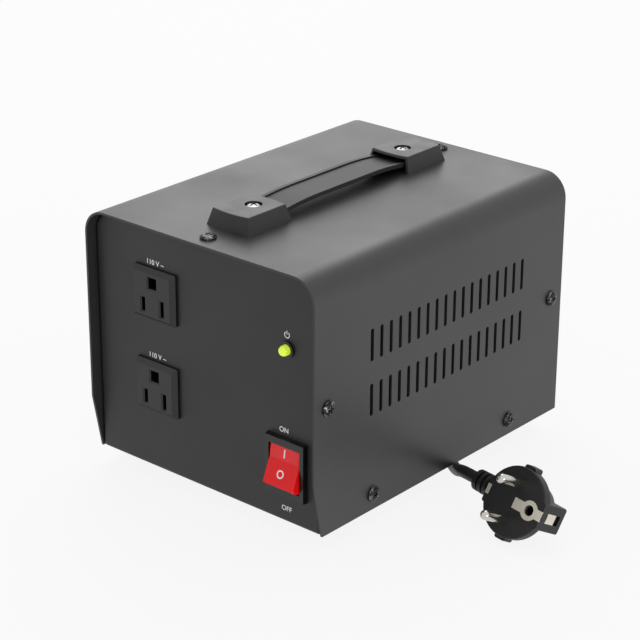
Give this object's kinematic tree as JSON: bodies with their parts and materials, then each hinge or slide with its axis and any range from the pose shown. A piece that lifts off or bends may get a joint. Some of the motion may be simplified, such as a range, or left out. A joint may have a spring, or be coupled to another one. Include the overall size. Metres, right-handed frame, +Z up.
{
  "type": "travel voltage converter",
  "caption": "Step-down voltage converter in a folded steel case with strap handle, flat-blade outlets, lit rocker switch, pilot lamp and corded round-pin plug",
  "frame": {"origin": "on the surface that the rubber feet stand on, under the middle of the case", "axes": "+X to the right seen from the front, +Y to the back, +Z up"},
  "size_m": [0.2683, 0.3332, 0.1491],
  "materials": {
    "case_paint": "satin dark grey paint",
    "black_steel": "black oxide",
    "steel": "zinc plated",
    "lamination": "varnished laminations",
    "black_plastic": "moulded",
    "strap_rubber": "satin",
    "foot_rubber": "matt",
    "cord_rubber": "satin",
    "red_plastic": "translucent red",
    "lamp_plastic": "clear yellow-green",
    "contact_brass": "bright",
    "pin_metal": "nickel plated",
    "copper": "enamelled",
    "bobbin_plastic": "moulded",
    "tape": "wrapped",
    "wire_jacket": "satin",
    "fuse_glass": "clear",
    "ceramic": "coated"
  },
  "bodies": {
    "case": {"cover": "case_paint", "chassis": "case_paint", "cover_side_screws": "black_steel", "cover_top_screws": "black_steel", "rubber_feet": "foot_rubber", "foot_screws": "steel", "foot_nuts": "steel", "handle_cap_rear": "black_plastic", "handle_cap_front": "black_plastic", "handle_screws": "steel", "handle_nuts": "steel", "outlet_housing_lower": "black_plastic", "outlet_housing_upper": "black_plastic", "outlet_contacts_lower": "contact_brass", "outlet_contacts_upper": "contact_brass", "switch_body": "black_plastic", "switch_terminals": "contact_brass", "lamp_ring": "black_plastic", "lamp_lens": "lamp_plastic", "lamp_leads": "steel", "lamp_resistor": "ceramic", "transformer_core": "lamination", "transformer_bobbin": "bobbin_plastic", "transformer_winding": "copper", "winding_wrap": "tape", "transformer_bracket_rear": "steel", "transformer_bracket_front": "steel", "core_bolts": "steel", "core_nuts": "steel", "bracket_screws": "steel", "bracket_nuts": "steel", "thermal_cutout": "black_plastic", "fuse_holder": "black_plastic", "fuse_holder_nut": "black_plastic", "fuse_link": "fuse_glass", "fuse_terminals": "contact_brass", "cord_gland": "black_plastic", "earth_lugs": "contact_brass", "earth_stud": "steel", "earth_nut": "steel", "wires_supply": "wire_jacket", "wire_fused": "wire_jacket", "wires_primary": "wire_jacket", "wires_output": "wire_jacket", "wires_earth": "wire_jacket", "wires_lamp": "wire_jacket", "cord_rear": "cord_rubber", "cord_coil": "cord_rubber", "cord_front": "cord_rubber", "plug_body": "cord_rubber", "plug_pins": "pin_metal", "plug_earth_contact": "pin_metal"},
    "rocker": {"switch_rocker": "red_plastic"},
    "strap": {"handle_strap": "strap_rubber"},
    "fuse_cap": {"fuse_cap": "black_plastic"}
  },
  "joints": [
    {"name": "rocker_tilt", "type": "hinge", "parent": "case", "child": "rocker", "pos_m": [0.0534, -0.0924, 0.0392], "axis": [1, 0, 0], "range_deg": [0, 31]},
    {"name": "strap_lift", "type": "slide", "parent": "case", "child": "strap", "axis": [0, 0, 1], "range_m": [0, 0.0015]},
    {"name": "fuse_cap_turn", "type": "hinge", "parent": "case", "child": "fuse_cap", "pos_m": [0.045, 0.0924, 0.039], "axis": [0, 1, 0], "range_deg": [-45, 0]}
  ]
}
